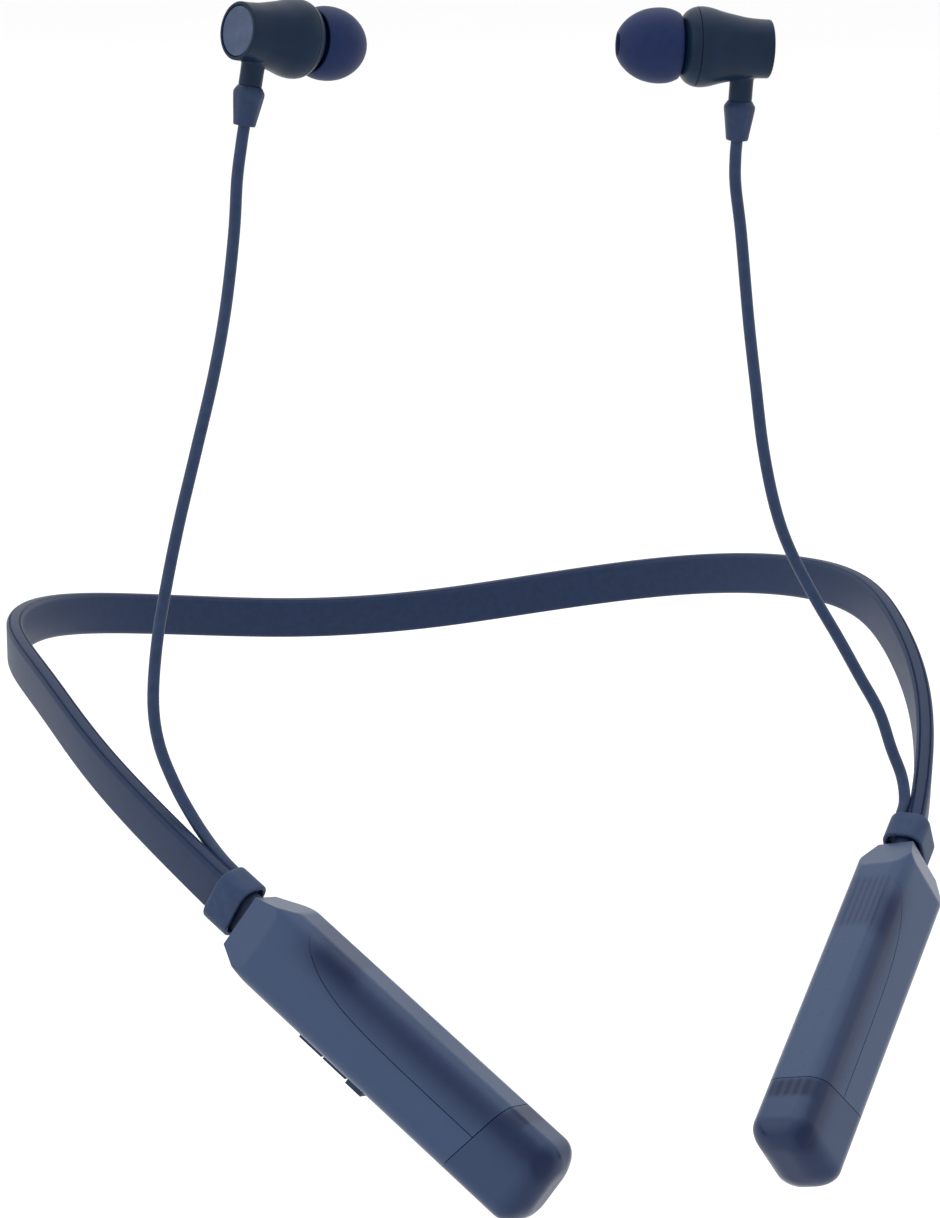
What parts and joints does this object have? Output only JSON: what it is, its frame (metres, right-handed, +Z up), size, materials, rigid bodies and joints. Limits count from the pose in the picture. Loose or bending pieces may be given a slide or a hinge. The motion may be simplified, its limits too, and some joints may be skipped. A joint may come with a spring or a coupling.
{
  "type": "neckband earphones",
  "caption": "Wireless in-ear earphones on a sprung silicone neckband, with long faceted pods at the ends and short cords up to magnetic earbuds.",
  "frame": {"origin": "middle of the strip's inner face at the back of the neck, where the wearer's neck touches it", "axes": "-Y towards the neck and the open front, +Z up as worn, +X to the right as seen from the front"},
  "size_m": [0.1664, 0.2167, 0.1728],
  "materials": {
    "strip_silicone": "satin",
    "spring_wire": "satin",
    "collar_rubber": "satin",
    "neck_plastic": "matt",
    "cover_gloss": "gloss",
    "base_plastic": "gloss",
    "cap_gloss": "gloss",
    "core_plastic": "matt",
    "board_laminate": "matt",
    "switch_metal": "satin",
    "light_pipe": "clear",
    "button_rubber": "satin",
    "cell_pouch": "satin",
    "port_steel": "satin",
    "cord_jacket": "satin",
    "relief_rubber": "satin",
    "bud_gloss": "semi-gloss",
    "bud_front_plastic": "semi-gloss",
    "back_plate_paint": "satin",
    "magnet_nickel": "bright",
    "driver_can": "satin",
    "mesh_steel": "satin",
    "tip_silicone": "soft"
  },
  "bodies": {
    "back": {"strip_back": "strip_silicone", "wire_back": "spring_wire", "flex_socket_left": "strip_silicone", "flex_socket_right": "strip_silicone"},
    "arm_left": {"strip_left": "strip_silicone", "wire_left": "spring_wire", "flex_knuckle_left": "strip_silicone", "collar_left": "collar_rubber", "neck_left": "neck_plastic", "pod_cover_left": "cover_gloss", "pod_base_left": "base_plastic", "end_cap_left": "cap_gloss", "core_left": "core_plastic", "cord_left": "cord_jacket", "relief_left": "relief_rubber", "bud_rear_left": "bud_gloss", "bud_front_left": "bud_front_plastic", "back_plate_left": "back_plate_paint", "magnet_left": "magnet_nickel", "driver_left": "driver_can", "mesh_left": "mesh_steel", "main_board": "board_laminate", "tact_switches": "switch_metal", "status_light": "light_pipe", "microphone": "switch_metal"},
    "arm_right": {"strip_right": "strip_silicone", "wire_right": "spring_wire", "flex_knuckle_right": "strip_silicone", "collar_right": "collar_rubber", "neck_right": "neck_plastic", "pod_cover_right": "cover_gloss", "pod_base_right": "base_plastic", "end_cap_right": "cap_gloss", "core_right": "core_plastic", "cord_right": "cord_jacket", "relief_right": "relief_rubber", "bud_rear_right": "bud_gloss", "bud_front_right": "bud_front_plastic", "back_plate_right": "back_plate_paint", "magnet_right": "magnet_nickel", "driver_right": "driver_can", "mesh_right": "mesh_steel", "battery": "cell_pouch", "charge_board": "board_laminate", "usb_port": "port_steel"},
    "volume_up_key": {"button_volume_up": "button_rubber"},
    "volume_down_key": {"button_volume_down": "button_rubber"},
    "power_key": {"button_power": "button_rubber"},
    "tip_left": {"eartip_left": "tip_silicone"},
    "tip_right": {"eartip_right": "tip_silicone"}
  },
  "joints": [
    {"name": "flex_left", "type": "hinge", "parent": "back", "child": "arm_left", "pos_m": [-0.06634, -0.02544, 0.01314], "axis": [-0.1419, -0.2053, -0.9684], "range_deg": [-4, 12], "stiffness_Nm_per_rad": 0.3},
    {"name": "flex_right", "type": "hinge", "parent": "back", "child": "arm_right", "pos_m": [0.06634, -0.02544, 0.01314], "axis": [-0.1419, 0.2053, 0.9684], "range_deg": [-4, 12], "stiffness_Nm_per_rad": 0.3},
    {"name": "press_volume_up", "type": "slide", "parent": "arm_left", "child": "volume_up_key", "axis": [0.5344, -0.1019, 0.8391], "range_m": [0, 0.0004], "stiffness_N_per_m": 3000},
    {"name": "press_volume_down", "type": "slide", "parent": "arm_left", "child": "volume_down_key", "axis": [0.5344, -0.1019, 0.8391], "range_m": [0, 0.0004], "stiffness_N_per_m": 3000},
    {"name": "press_power", "type": "slide", "parent": "arm_left", "child": "power_key", "axis": [0.5344, -0.1019, 0.8391], "range_m": [0, 0.0004], "stiffness_N_per_m": 3000},
    {"name": "pull_tip_left", "type": "slide", "parent": "arm_left", "child": "tip_left", "axis": [0.8897, 0.4149, -0.1908], "range_m": [0, 0.006]},
    {"name": "pull_tip_right", "type": "slide", "parent": "arm_right", "child": "tip_right", "axis": [-0.9919, 0.1218, 0.0349], "range_m": [0, 0.006]}
  ]
}
